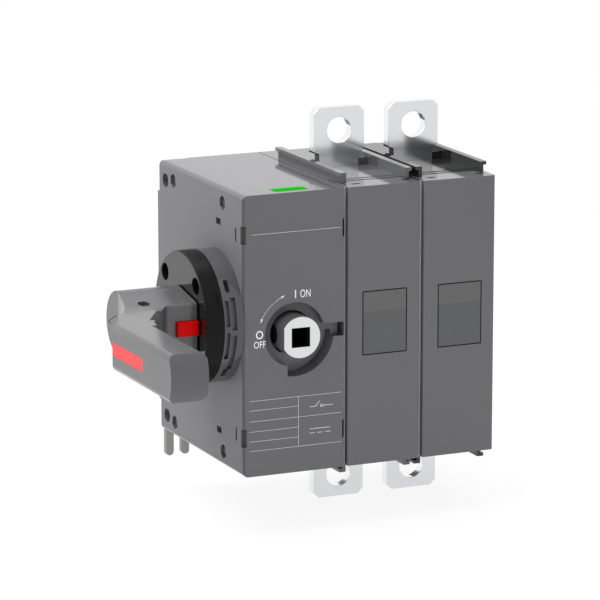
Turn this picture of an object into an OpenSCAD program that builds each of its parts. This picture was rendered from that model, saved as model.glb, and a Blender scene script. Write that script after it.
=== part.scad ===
// Two-pole load-break isolator for direct current, with a side handle.
// Origin on the mounting plane, at the middle of the body's width and height.
// +Z is up, the front faces -Y, and the handle stands off the left side at -X.

/* [Body] */
// Height of the moulded body
body_h = 150; // [130:1:180]
// Depth from the front face to the mounting plane
body_d = 116; // [105:1:135]
// Width of the drive module at the left
mech_w = 58; // [56:1:80]
// Width of one pole module, centre to centre
pole_pitch = 44; // [44:1:60]
// Radius on the upright front edges
edge_r = 1.2; // [0.6:0.1:2]
// Radius along the top and bottom edges of the left side
shoulder_r = 3; // [1:0.5:5]
// How far the middle of the back stands behind its two ends
pad_rise = 2.5; // [1:0.5:3]
// Height of each set-back end of the back
pad_margin = 17; // [12:1:25]

/* [Pole cover] */
// Depth of the snap-on front cover of a pole
cover_d = 16.4; // [14:0.2:20]
// Width of the groove at the left of each pole cover
groove_w = 2; // [1:0.2:3]
// Depth of that groove
groove_d = 2.6; // [1:0.2:6]
// Joint between a cover and the body behind it
seam = 0.4; // [0.2:0.1:0.8]
// Width of the inspection window
window_w = 25.6; // [18:0.2:28]
// Height of the inspection window
window_h = 34.2; // [24:0.2:60]
// Thickness of the window pane
window_t = 2; // [1:0.5:3]
// Window centre to the right of the pole centre
window_dx = 1.4; // [0:0.1:2]
// Window centre above mid height
window_dz = 1.5; // [-5:0.5:10]
// Depth of the chamber behind the window pane
chamber_d = 10; // [6:1:12]
// Length of the latch slot in the top and bottom of a cover
latch_l = 4.6; // [3:0.2:8]
// Width of the latch slot
latch_w = 2; // [0.8:0.1:3]

/* [Barrier ribs] */
// Height of the ribs that hold a phase barrier
rib_h = 5.9; // [4:0.1:8]
// Length of the ribs, front to back
rib_l = 84; // [60:1:92]
// Thickness of the upright web of a rib
rib_web = 2; // [1.6:0.2:3]
// Thickness of the lip on top of a rib
rib_lip = 1.9; // [1:0.1:2.4]
// Overhang of the lip beyond the web
rib_over = 1.7; // [1:0.1:2]
// Reach of a rib over the cover in front of it
rib_nose = 7; // [0.5:0.5:9]
// Slot between two neighbouring webs
barrier_slot = 5.8; // [4.6:0.1:7]
// Outer face of a right-hand web in from the side of its pole
rib_inset = 2.3; // [0:0.1:3]

/* [Terminals] */
// Width of the flat terminal bar
term_w = 29.6; // [20:0.4:32]
// Middle of the bar to the right of the pole centre
term_dx = 0.4; // [0:0.1:1]
// Thickness of the terminal bar
term_t = 5.8; // [4:0.2:8]
// Front face of the bar behind the front of the body
term_back = 56; // [45:1:70]
// Reach of the bar above and below the body
term_out = 32.5; // [26:0.5:40]
// Bolt hole in the bar
bolt_d = 14; // [9:0.5:15]
// Bolt hole centre from the tip of the bar
bolt_in = 12.5; // [11:0.5:14]
// Cut corner of the bar
term_cut = 3; // [1:0.5:5]
// Width of the neck that enters the body
neck_w = 23.4; // [14:0.2:24]
// Gap between the shoulders of the bar and the body
neck_gap = 7; // [6:0.2:8]
// Length of the neck inside the body
neck_in = 14; // [8:1:20]

/* [Status indicator] */
// Width of the coloured indicator on top of the drive module
indicator_w = 19; // [10:0.5:24]
// Its size from front to back
indicator_l = 8.5; // [6:0.5:16]
// Its distance from the left side of the body
indicator_x = 20.2; // [8:0.2:28]
// Its distance from the front of the body
indicator_y = 3.7; // [3:0.1:12]

/* [Front drive] */
// Drive centre from the left side of the body
drive_x = 29.5; // [29:0.5:36]
// Drive centre above mid height
drive_dz = -0.6; // [-4:0.2:4]
// Radius of the round recess round the drive
recess_r = 17; // [15:0.5:20]
// Radius of the wider lower right part of the recess
sector_r = 22.5; // [20:0.5:25]
// Depth of the recess
recess_d = 5; // [3:0.5:8]
// Depth of the wider part
sector_d = 11; // [8:0.5:14]
// Radius of the metal bush
bush_r = 11; // [9:0.5:12]
// Flat on the bush, from its centre
bush_flat = 9.5; // [8:0.5:11]
// Reach of the bush in front of the body
bush_out = 8; // [5:0.5:12]
// Length of the bush behind the recess floor
bush_in = 24; // [15:1:40]
// Square socket for the extension shaft
socket_w = 10.4; // [8:0.1:12.5]
// Depth of the square socket
socket_d = 26; // [15:1:30]
// Clearance round the bush
bush_gap = 0.8; // [0.4:0.1:1.5]
// Height of the locking channel to the right of the recess
channel_h = 7.4; // [5:0.2:10]

/* [Side handle] */
// Handle axis behind the front of the body
axis_in = 33.5; // [32:0.5:60]
// Handle axis above mid height
axis_dz = 6; // [-10:1:10]
// Radius of the adapter and of the handle plate
plate_r = 35.5; // [30:0.5:38]
// Thickness of the adapter
adapter_t = 10.8; // [10:0.2:14]
// Thickness of the handle plate
plate_t = 10.4; // [8:0.2:14]
// Screw holes in the handle plate
screw_d = 9; // [6:0.5:10]
// Half spacing of those holes, each way
screw_half = 20.8; // [19:0.2:22]
// Running gap between the plate and the handle
hub_gap = 0.8; // [0.5:0.1:1.5]
// Radius of the handle's round hub
hub_r = 17.4; // [15:0.2:19]
// Reach of the hub from the plate
hub_out = 34.7; // [30:0.5:40]
// Reach of the lock block in front of the axis
block_reach = 24.8; // [22:0.2:26]
// Thickness of the lock block from the plate
block_t = 13.5; // [12:0.5:15]
// Half height of the front of the lock block
block_half = 13; // [11:0.5:14]
// Outer face of the grip from the plate
grip_out = 57.5; // [54:0.5:62]
// Inner side of the grip from the plate
grip_in = 37.4; // [35:0.2:39]
// Half height of the grip
grip_half = 12.3; // [10:0.1:13]
// Reach of the grip in front of the axis
grip_reach = 128; // [115:1:140]
// Crown of the grip's front end
grip_crown = 3.8; // [1:0.2:6]
// Radius on the finger side of the grip
grip_r = 5.6; // [3:0.2:7]
// Back corner of the grip's outer face, in front of the axis
elbow_v = 49.4; // [46:0.2:54]
// Lean of the arm between hub and grip
arm_lean = 31.5; // [27:0.5:36]
// Radius of the concave finger side between arm and grip
crook_r = 20; // [12:0.5:26]
// Height of the coloured strip in the grip
strip_h = 7; // [4:0.5:9]
// Middle of the strip below the middle of the grip
strip_drop = 0.6; // [0:0.2:2]
// Length of that strip
strip_l = 41; // [20:1:60]
// Height of the locking tongue
tongue_h = 7.6; // [5:0.2:9]
// Thickness of the locking tongue
tongue_t = 11.6; // [8:0.2:12]
// How far the tongue stands in front of its block
tongue_show = 2.4; // [0.6:0.2:3]
// Padlock hole through the tongue
shackle_d = 6; // [4:0.5:6]
// Square handle spindle, across flats
spindle_w = 10; // [8:0.5:12]

/* [Fixings] */
// Clearance bore for a tie rod
rod_bore = 4.5; // [4:0.1:6]
// Tie rod diameter
rod_d = 4; // [3:0.1:4.4]
// Nut across flats
nut_af = 7; // [5.5:0.1:8]
// Depth of the nut pocket
nut_d = 5; // [4:0.5:8]
// Tie rods from the top and bottom of the body
rod_in = 8.2; // [7.5:0.1:9]
// Front tie rods behind the front of the body
rod_front = 26.5; // [24:0.5:30]
// Back tie rods behind the front of the body
rod_rear = 94; // [88:0.5:96]
// Width of a mounting foot
foot_w = 13.8; // [12:0.2:18]
// Thickness of a mounting foot
foot_t = 3.6; // [2.6:0.2:5]
// Foot from the side of the body
foot_in = 2.3; // [2:0.1:6]
// Slot in a mounting foot
foot_slot = 4.5; // [4:0.1:6]
// Reach of a drawn-out foot below the body
foot_out = 15.4; // [12:0.2:18]
// Length of a foot inside its pocket
foot_hold = 22; // [18:1:40]

/* [Hidden] */
$fn = 48;
over = 1;
fit = 0.2;
poles = 2;
total_w = mech_w + poles * pole_pitch;
left = -total_w / 2;
right = total_w / 2;
mech_right = left + mech_w;
front = -body_d;
top = body_h / 2;
back_end = -pad_rise;
pole_left = [for (i = [0:poles - 1]) mech_right + i * pole_pitch];
side_y = front + axis_in;
side_z = axis_dz;
plate_x = left - adapter_t - plate_t;
drive_px = left + drive_x;
rib_start = front + cover_d;
grey = [0.46, 0.46, 0.47];
adapter_grey = [0.38, 0.38, 0.39];
dark = [0.30, 0.30, 0.30];
steel = [0.60, 0.60, 0.60];
metal = [0.84, 0.85, 0.86];

// Small openings of the left side, mirrored about mid height.
port_y = 105;
port_drop = 9.7;
port_r = 4;
port_flat = 3.6;
port_d = 6;
latch_y = 29;
latch_drop = 18.8;
latch_size = [6, 3.4];
slit_y = 8.2;
slit_drop = 21.8;
slit_size = [1.7, 7.2];
notch_drop = 21;
notch_size = [2.2, 2.6, 9.6];

// Tie rod ends, recessed in the two outer sides.
head_r = 3.6;
head_t = 2.4;
head_pocket_r = 4;
head_pocket_d = 4;
nut_t = 3;
nut_play = 0.4;
rod_recess = 1.2;

// Feet.
foot_len = foot_hold + foot_out;
foot_slot_l = 18;

// Indicator, window and contacts.
indicator_t = 3;
window_play = 0.1;
window_ledge = 1;
contact_t = 6;
contact_w = 4;
contact_h = 24;
contact_gap = 8;
bridge_w = 16;
bridge_t = 4;
bridge_h = 6;
latch_in = 5.6;
latch_back = 6.8;
latch_right = 3;
latch_deep = 2;
lap = 4;
joint_deep = 1.2;

// Upright stop on the top and bottom of each pole, and the slant of the terminal shoulders.
stop_in = 28;
stop_back = 43.5;
stop_size = [11, 2.5, 5.6];
shoulder_rise = 1.4;

// Pockets in the adapter's rim as [from its outer face, width, low, high], and its two slots.
rim_pockets = [[0.9, 2.3, 1.2, 14.4], [0.9, 2.3, -16.7, -1.9],
  [4.2, 2.8, -0.9, 15.8], [4.2, 2.8, -23.3, -3.7]];
rim_d = 1.8;
rim_slot_w = 2.8;
rim_slot_l = 7.4;
rim_slot_deep = 4;
rim_slots = [[3.9, 37], [4.1, -46]];

// Drive recess, handle holes and pockets.
sector_left = 4;
drive_z = drive_dz;
channel_end = 3.4;
bush_flat_l = 8;
bore_play = 2.5;
plate_bore_r = spindle_w / sqrt(2) + bore_play / 2;
housing_bore_d = 16;
housing_bore_r = spindle_w / sqrt(2) + bore_play;
lever_bore_d = 12;
spindle_in = 14;
strip_t = 1;
tongue_u = hub_gap - fit;
tongue_l = 14;
tongue_pocket = 15.5;
shackle_back = 6;
key_af = 6;
key_u = 28.2;
key_v = 19.3;
key_floor = 11;
shoulder_u = 4.5;
ease = 0.4;
taper = 10.5;
root_r = 5;
nose_r = 3;
nose_ease = 0.2;

// A box given by its lowest corner and its size.
module block(corner, size) {
  translate(corner) cube(size);
}

// A round bar along X.
module bar_x(x0, x1, y, z, r) {
  translate([x0, y, z]) rotate([0, 90, 0]) cylinder(r = r, h = x1 - x0);
}

// A round bar along Y.
module bar_y(x, y0, y1, z, r) {
  translate([x, y0, z]) rotate([-90, 0, 0]) cylinder(r = r, h = y1 - y0);
}

// The side profile shared by all modules: full depth in the middle, set back at both ends.
module side_profile(y0) {
  polygon([[y0, -top], [back_end, -top], [back_end, -top + pad_margin], [0, -top + pad_margin],
    [0, top - pad_margin], [back_end, top - pad_margin], [back_end, top], [y0, top]]);
}

// The side profile swept along X from x0 over a width w.
module slab(x0, w, y0) {
  translate([x0, 0, 0]) rotate([90, 0, 90]) linear_extrude(w) side_profile(y0);
}

// Rounds an upright front edge at x; side is +1 for a right edge and -1 for a left one.
module edge_cutter(x, side) {
  difference() {
    block([x - (side > 0 ? edge_r : over), front - over, -body_h],
      [edge_r + over, edge_r + over, 2 * body_h]);
    translate([x - side * edge_r, front + edge_r, -body_h]) cylinder(r = edge_r, h = 2 * body_h);
  }
}

// The four places of the tie rods, as [y, z].
rods = [[front + rod_front, top - rod_in], [front + rod_rear, top - rod_in],
  [front + rod_front, -top + rod_in], [front + rod_rear, -top + rod_in]];

module rod_bores(x0, x1) {
  for (p = rods)
    bar_x(x0, x1, p[0], p[1], rod_bore / 2);
}

// A hexagonal pocket or nut along X, point up.
module hex_x(x0, x1, p, af) {
  translate([x0, p[0], p[1]]) rotate([0, 90, 0]) cylinder(d = af / cos(30), h = x1 - x0, $fn = 6);
}

// Left side, at one end: a round port with flats, a latch window, a slit and two edge notches.
module side_openings(s) {
  port_z = s * (top - port_drop);
  notch_z = s * (top - notch_drop) - notch_size[2] / 2;
  intersection() {
    bar_x(left - over, left + port_d, front + port_y, port_z, port_r);
    block([left - over, front + port_y - port_r, port_z - port_flat],
      [port_d + over, 2 * port_r, 2 * port_flat]);
  }
  block([left - over, front + latch_y, s * (top - latch_drop) - latch_size[1] / 2],
    [port_d + over, latch_size[0], latch_size[1]]);
  block([left - over, front + slit_y, s * (top - slit_drop) - slit_size[1] / 2],
    [port_d + over, slit_size[0], slit_size[1]]);
  block([left - over, front - over, notch_z],
    [notch_size[0] + over, notch_size[1] + over, notch_size[2]]);
  block([mech_right - notch_size[0] / 2, front - over, notch_z],
    [notch_size[0], notch_size[1] + over, notch_size[2]]);
}

// Pocket in the back for a mounting foot; side -1 left, +1 right; end -1 bottom, +1 top.
function foot_x(side) = side < 0 ? left + foot_in : right - foot_in - foot_w;
module foot_pocket(side, end) {
  z0 = end > 0 ? top - foot_len : -top - over;
  block([foot_x(side) - fit, -foot_t, z0], [foot_w + 2 * fit, foot_t + over, foot_len + over]);
}

// Recess, wider sector and channel round the drive bush.
module drive_recess() {
  bar_y(drive_px, front - over, front + recess_d, drive_z, recess_r);
  intersection() {
    bar_y(drive_px, front - over, front + sector_d, drive_z, sector_r);
    block([drive_px - sector_left, front - over, drive_z - sector_r - over],
      [sector_r + sector_left + over, sector_d + over, sector_r + over]);
  }
  block([drive_px, front - over, -channel_h / 2],
    [mech_right - drive_px + over, recess_d + over, channel_h]);
  block([mech_right - channel_end, front - over, -channel_h / 2],
    [channel_end + over, sector_d + over, channel_h]);
  bar_y(drive_px, front, front + recess_d + bush_in + bush_gap, drive_z, bush_r + bush_gap);
}

// Rounds the upper or lower edge of the left side.
module shoulder_cutter(s) {
  difference() {
    block([left - over, front - over, s > 0 ? top - shoulder_r : -top - over],
      [shoulder_r + over, body_d + 2 * over, shoulder_r + over]);
    bar_y(left + shoulder_r, front - 2 * over, 2 * over, s * (top - shoulder_r), shoulder_r);
  }
}

module mechanism_housing() {
  color(grey) difference() {
    slab(left, mech_w, front);
    edge_cutter(left, -1);
    rod_bores(left - over, mech_right + over);
    for (p = rods)
      hex_x(left - over, left + nut_d, p, nut_af);
    for (s = [-1, 1]) {
      shoulder_cutter(s);
      side_openings(s);
      foot_pocket(-1, s);
    }
    drive_recess();
    bar_x(left - over, left + housing_bore_d, side_y, side_z, housing_bore_r);
    block([left + indicator_x - fit, front + indicator_y - fit, top - indicator_t],
      [indicator_w + 2 * fit, indicator_l + 2 * fit, indicator_t + over]);
  }
}

module status_indicator() {
  color([0.04, 0.80, 0.04])
    block([left + indicator_x, front + indicator_y, top - indicator_t],
      [indicator_w, indicator_l, indicator_t]);
}

module drive_bush() {
  color(metal) difference() {
    bar_y(drive_px, front - bush_out, front + recess_d + bush_in, drive_z, bush_r);
    block([drive_px - bush_r - over, front - bush_out - over, drive_z - bush_r - over],
      [bush_r + over - bush_flat, bush_out + recess_d + bush_flat_l + over, 2 * (bush_r + over)]);
    block([drive_px - socket_w / 2, front - bush_out - over, drive_z - socket_w / 2],
      [socket_w, socket_d + over, socket_w]);
  }
}

// One barrier rib at the top: web from x0, with its lip overhanging to the side s.
module rib(x0, s) {
  block([x0, rib_start + seam, top - over], [rib_web, rib_l - rib_nose, rib_h + over]);
  translate([0, rib_start + seam - rib_nose, 0]) {
    block([x0, 0, top + fit], [rib_web, rib_nose + over, rib_h - fit]);
    block([s > 0 ? x0 : x0 - rib_over, 0, top + rib_h - rib_lip], [rib_web + rib_over, rib_l, rib_lip]);
  }
}

module ribs(i) {
  for (m = [0, 1]) mirror([0, 0, m]) {
    rib(pole_left[i] + barrier_slot - rib_inset, -1);
    rib(pole_left[i] + pole_pitch - rib_inset - rib_web, 1);
  }
}

// The upright stop beside the right-hand rib.
module stop(i) {
  block([pole_left[i] + stop_in, front + stop_back, top - over], stop_size + [0, 0, over]);
}

function pole_mid(i) = pole_left[i] + pole_pitch / 2;
function term_mid(i) = pole_mid(i) + term_dx;

module pole_base(i) {
  color(grey) difference() {
    union() {
      slab(pole_left[i], pole_pitch, rib_start + seam);
      block([pole_left[i], front + groove_d, -top], [groove_w - fit, cover_d + over, body_h]);
      ribs(i);
      for (m = [0, 1]) mirror([0, 0, m])
        stop(i);
    }
    rod_bores(pole_left[i] - over, pole_left[i] + pole_pitch + over);
    for (m = [0, 1]) mirror([0, 0, m]) {
      block([pole_left[i] - over, front, top - joint_deep], [seam + over, body_d + over, joint_deep + over]);
      block([pole_left[i] - over, rib_start + lap, top - joint_deep],
        [pole_pitch + 2 * over, seam, joint_deep + seam / 2]);
      block([term_mid(i) - neck_w / 2 - fit, front + term_back - fit, top - neck_in],
        [neck_w + 2 * fit, term_t + 2 * fit, neck_in + rib_h]);
      block([term_mid(i) - term_w / 2 - fit, front + term_back - fit, top + neck_gap - fit],
        [term_w + 2 * fit, term_t + 2 * fit, rib_h]);
    }
    if (i == poles - 1) {
      foot_pocket(1, -1);
      foot_pocket(1, 1);
      for (p = rods)
        bar_x(right - head_pocket_d, right + over, p[0], p[1], head_pocket_r);
    }
  }
}

module pole_cover(i) {
  x0 = pole_left[i] + groove_w;
  w = pole_pitch - groove_w;
  wx = pole_mid(i) + window_dx - window_w / 2;
  wz = window_dz - window_h / 2;
  color(grey) difference() {
    block([x0, front, -top], [w, cover_d + seam, body_h]);
    edge_cutter(x0, -1);
    edge_cutter(x0 + w, 1);
    block([wx, front - over, wz], [window_w, window_t + over, window_h]);
    block([wx + window_ledge, front, wz + window_ledge],
      [window_w - 2 * window_ledge, window_t + chamber_d, window_h - 2 * window_ledge]);
    for (m = [0, 1]) mirror([0, 0, m]) {
      for (x = [x0 + latch_in, x0 + w - latch_l - latch_right])
        block([x, front + latch_back, top - latch_deep], [latch_l, latch_w, latch_deep + over]);
      block([x0 - over, front + cover_d - seam, top - joint_deep], [w + 2 * over, seam, joint_deep + over]);
    }
  }
}

module pole_window(i) {
  color([0.39, 0.39, 0.40, 0.6])
    block([pole_mid(i) + window_dx - window_w / 2 + window_play, front,
      window_dz - window_h / 2 + window_play],
      [window_w - 2 * window_play, window_t, window_h - 2 * window_play]);
}

// Fixed contact jaws and the moving bridge seen through the window.
module pole_contacts(i) {
  mid = pole_mid(i) + window_dx;
  y0 = front + window_t + chamber_d - contact_t;
  color([0.72, 0.45, 0.25]) {
    for (s = [-1, 1])
      block([mid + s * contact_gap / 2 - contact_w / 2, y0, window_dz - contact_h / 2],
        [contact_w, contact_t, contact_h]);
    block([mid - bridge_w / 2, y0 + contact_t - bridge_t, window_dz - bridge_h / 2],
      [bridge_w, bridge_t, bridge_h]);
  }
}

// The upper terminal bar of pole i: plate with two cut corners, bolt hole, and a neck into the body.
module terminal(i) {
  tip = top + term_out;
  half = term_w / 2;
  color(metal) translate([term_mid(i), front + term_back + term_t, 0]) rotate([90, 0, 0])
    linear_extrude(term_t) difference() {
      union() {
        polygon([[-neck_w / 2, top + neck_gap], [neck_w / 2, top + neck_gap],
          [half, top + neck_gap + shoulder_rise], [half, tip - term_cut], [half - term_cut, tip],
          [-half + term_cut, tip], [-half, tip - term_cut], [-half, top + neck_gap + shoulder_rise]]);
        translate([-neck_w / 2, top - neck_in]) square([neck_w, neck_in + neck_gap + over]);
      }
      translate([0, tip - bolt_in]) circle(d = bolt_d);
    }
}

// A tie rod along X with its nut in the left pocket and its round head in the right one.
module tie_rod(k) {
  color(steel) {
    bar_x(left + rod_recess, right - rod_recess, rods[k][0], rods[k][1], rod_d / 2);
    hex_x(left + nut_d - nut_t, left + nut_d, rods[k], nut_af - nut_play);
    bar_x(right - head_pocket_d, right - head_pocket_d + head_t, rods[k][0], rods[k][1], head_r);
  }
}

// A mounting foot: a plate with a slot open at its outer end and two round prongs.
module foot(side, end, out) {
  x0 = foot_x(side);
  prong_r = (foot_w - foot_slot) / 4;
  color([0.56, 0.56, 0.54]) mirror([0, 0, end > 0 ? 1 : 0])
    translate([0, 0, -top - out]) difference() {
      union() {
        block([x0, -foot_t, prong_r], [foot_w, foot_t, foot_len - prong_r - over]);
        for (x = [x0 + prong_r, x0 + foot_w - prong_r])
          bar_y(x, -foot_t, 0, prong_r, prong_r);
      }
      block([x0 + (foot_w - foot_slot) / 2, -foot_t - over, -over],
        [foot_slot, foot_t + 2 * over, foot_slot_l + over]);
      bar_y(x0 + foot_w / 2, -foot_t - over, over, foot_slot_l, foot_slot / 2);
    }
}

// A groove moulded into the front of the adapter's rim.
module rim_pocket(x0, w, z0, z1) {
  intersection() {
    difference() {
      bar_x(x0, x0 + w, side_y, side_z, plate_r + over);
      bar_x(x0, x0 + w, side_y, side_z, plate_r - rim_d);
    }
    block([x0, side_y - 2 * plate_r, side_z + z0], [w, 2 * plate_r, z1 - z0]);
  }
}

// A slot with round ends into the rim, at an angle above the front.
module rim_slot(x, angle) {
  run = rim_slot_l - rim_slot_w;
  translate([x, side_y, side_z]) rotate([90 - angle, 0, 0]) translate([0, 0, plate_r - rim_slot_deep]) {
    for (s = [-1, 1])
      translate([0, s * run / 2, 0]) cylinder(d = rim_slot_w, h = 2 * rim_slot_deep);
    translate([-rim_slot_w / 2, -run / 2, 0]) cube([rim_slot_w, run, 2 * rim_slot_deep]);
  }
}

// Round adapter between the drive module and the handle, with its moulding pockets.
module side_adapter() {
  color(adapter_grey) difference() {
    bar_x(left - adapter_t, left, side_y, side_z, plate_r);
    for (p = rim_slots)
      rim_slot(left - adapter_t + p[0], p[1]);
    for (p = rim_pockets)
      rim_pocket(left - adapter_t + p[0], p[1], p[2], p[3]);
    bar_x(left - adapter_t - over, left + over, side_y, side_z, plate_bore_r);
  }
}

module handle_plate() {
  color(dark) difference() {
    bar_x(plate_x, left - adapter_t, side_y, side_z, plate_r);
    for (a = [-1, 1], b = [-1, 1])
      bar_x(plate_x - over, left - adapter_t + over, side_y + a * screw_half, side_z + b * screw_half,
        screw_d / 2);
    bar_x(plate_x - over, left - adapter_t + over, side_y, side_z, plate_bore_r);
  }
}

// Places a shape drawn as [u, v]: u outward from the handle plate, v forward from the axis.
module on_handle() {
  multmatrix([[-1, 0, 0, plate_x], [0, -1, 0, side_y], [0, 0, 1, side_z], [0, 0, 0, 1]]) children();
}

// Inner line of the arm, parallel to its outer line, and the middle of the crook tangent to it.
arm_c = grip_out * cos(arm_lean) - elbow_v * sin(arm_lean) - (grip_out - grip_in);
crook_u = grip_in - crook_r;
crook_v = (crook_u * cos(arm_lean) - arm_c + crook_r) / sin(arm_lean);
shoulder_v = elbow_v - (grip_out - hub_out - shoulder_u) / tan(arm_lean);
root_u = (arm_c + block_reach * sin(arm_lean)) / cos(arm_lean);
root_l = root_r * tan((90 - arm_lean) / 2);
arm_run = crook_v - crook_r * sin(arm_lean) - block_reach - root_l * cos(arm_lean);

// Lever seen along its own height: hub, lock block, leaning arm and grip.
module lever_plan() {
  difference() {
    polygon([[hub_gap, -hub_r], [hub_out, -hub_r], [hub_out, 0], [hub_out + shoulder_u, shoulder_v],
      [grip_out, elbow_v], [grip_out, grip_reach + over], [grip_in, grip_reach + over],
      [grip_in, crook_v], [crook_u + crook_r * cos(arm_lean), crook_v - crook_r * sin(arm_lean)],
      [root_u + root_l * sin(arm_lean), block_reach + root_l * cos(arm_lean)],
      [root_u - root_l, block_reach], [hub_gap, block_reach]]);
    translate([crook_u, crook_v]) circle(r = crook_r);
    translate([root_u - root_l, block_reach + root_r]) circle(r = root_r);
  }
}

// Lever seen from its end: the hub's height tapering to the grip, with a crowned front end.
module lever_side() {
  crown_r = (grip_half * grip_half + grip_crown * grip_crown) / (2 * grip_crown);
  knee = (hub_r / cos(taper) - grip_half) / tan(taper);
  start = hub_r / cos(taper) - fit;
  difference() {
    polygon([[0, -start], [knee, -grip_half], [grip_reach + over, -grip_half],
      [grip_reach + over, grip_half], [knee, grip_half], [0, start]]);
    difference() {
      translate([grip_reach - 2 * grip_crown, -hub_r]) square([hub_r, 2 * hub_r]);
      translate([grip_reach - crown_r, 0]) circle(r = crown_r);
    }
  }
}

// Cuts the two finger-side edges of the grip and of the arm round.
module finger_rounding() {
  for (m = [0, 1]) mirror([0, 0, m]) translate([crook_u, crook_v, grip_half - grip_r + ease]) {
    translate([crook_r, 0, 0]) rotate([90, 0, 0]) mirror([0, 0, 1])
      linear_extrude(grip_reach) corner_cutter();
    rotate([0, 0, -arm_lean]) translate([crook_r, 0, 0]) rotate([90, 0, 0])
      linear_extrude(arm_run / cos(arm_lean) - grip_r) corner_cutter();
  }
}

// Rounds the upper and lower front corner of the lock block.
module nose_rounding() {
  nose_v = block_reach - nose_r;
  nose_z = (hub_r - nose_r) / cos(taper) - nose_v * tan(taper);
  for (m = [0, 1]) mirror([0, 0, m]) translate([-over, nose_v, nose_z]) rotate([90, 0, 90])
    linear_extrude(root_u - root_l + over) difference() {
      square(2 * nose_r);
      circle(r = nose_r + nose_ease);
    }
}

// Square minus a quarter round, for a rounded edge of radius grip_r.
module corner_cutter() {
  difference() {
    translate([-over, 0]) square([grip_r + over, grip_r + over]);
    translate([grip_r - ease, 0]) circle(r = grip_r);
  }
}

// Room in the grip for the coloured strip, which starts on the elbow.
module strip_shape(deeper) {
  translate([0, 0, -strip_drop - strip_h / 2]) linear_extrude(strip_h)
    polygon([[grip_out - strip_t, elbow_v - strip_t / tan(arm_lean)],
      [grip_out + deeper, elbow_v + deeper / tan(arm_lean)],
      [grip_out + deeper, elbow_v + strip_l], [grip_out - strip_t, elbow_v + strip_l]]);
}

module handle_lever() {
  color(grey) on_handle() difference() {
    union() {
      translate([hub_gap, 0, 0]) rotate([0, 90, 0]) cylinder(r = hub_r, h = hub_out - hub_gap);
      intersection() {
        translate([0, 0, -2 * hub_r]) linear_extrude(4 * hub_r) difference() {
          lever_plan();
          translate([0, -2 * hub_r]) square([grip_out, 2 * hub_r]);
        }
        rotate([90, 0, 90]) linear_extrude(2 * grip_out) lever_side();
      }
    }
    finger_rounding();
    nose_rounding();
    strip_shape(over);
    translate([tongue_u, block_reach - tongue_pocket, -tongue_h / 2 - fit])
      cube([tongue_t + 2 * fit, tongue_pocket + over, tongue_h + 2 * fit]);
    translate([key_u, key_v, key_floor]) cylinder(d = key_af / cos(30), h = hub_r, $fn = 6);
    translate([0, -spindle_w / 2, -spindle_w / 2]) cube([lever_bore_d, spindle_w, spindle_w]);
  }
}

module handle_strip() {
  color([1, 0.35, 0.35]) on_handle() strip_shape(0);
}

module lock_tongue() {
  color([0.72, 0, 0]) on_handle() difference() {
    translate([tongue_u + fit, block_reach - tongue_l, -tongue_h / 2])
      cube([tongue_t, tongue_l + tongue_show, tongue_h]);
    translate([tongue_u + fit + tongue_t / 2, block_reach - shackle_back, -tongue_h])
      cylinder(d = shackle_d, h = 2 * tongue_h);
  }
}

module handle_spindle() {
  color(steel)
    block([plate_x - lever_bore_d, side_y - spindle_w / 2, side_z - spindle_w / 2],
      [left - plate_x + lever_bore_d + spindle_in, spindle_w, spindle_w]);
}

mechanism_housing();
status_indicator();
drive_bush();
pole_base(0);  // pole_1_base
pole_cover(0);  // pole_1_cover
pole_window(0);  // pole_1_window
pole_contacts(0);  // pole_1_contacts
terminal(0);  // pole_1_top_terminal
mirror([0, 0, 1]) terminal(0);  // pole_1_bottom_terminal
pole_base(1);  // pole_2_base
pole_cover(1);  // pole_2_cover
pole_window(1);  // pole_2_window
pole_contacts(1);  // pole_2_contacts
terminal(1);  // pole_2_top_terminal
mirror([0, 0, 1]) terminal(1);  // pole_2_bottom_terminal
tie_rod(0);  // tie_rod_top_front
tie_rod(1);  // tie_rod_top_rear
tie_rod(2);  // tie_rod_bottom_front
tie_rod(3);  // tie_rod_bottom_rear
foot(-1, -1, foot_out);  // foot_bottom_left
foot(1, -1, foot_out);  // foot_bottom_right
foot(-1, 1, -1);  // foot_top_left
foot(1, 1, -1);  // foot_top_right
side_adapter();
handle_plate();
handle_lever();
handle_strip();
lock_tongue();
handle_spindle();
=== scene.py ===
"""Two-pole load-break switch for direct current, with its side handle, dressed round its CAD frame."""
import math

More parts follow.
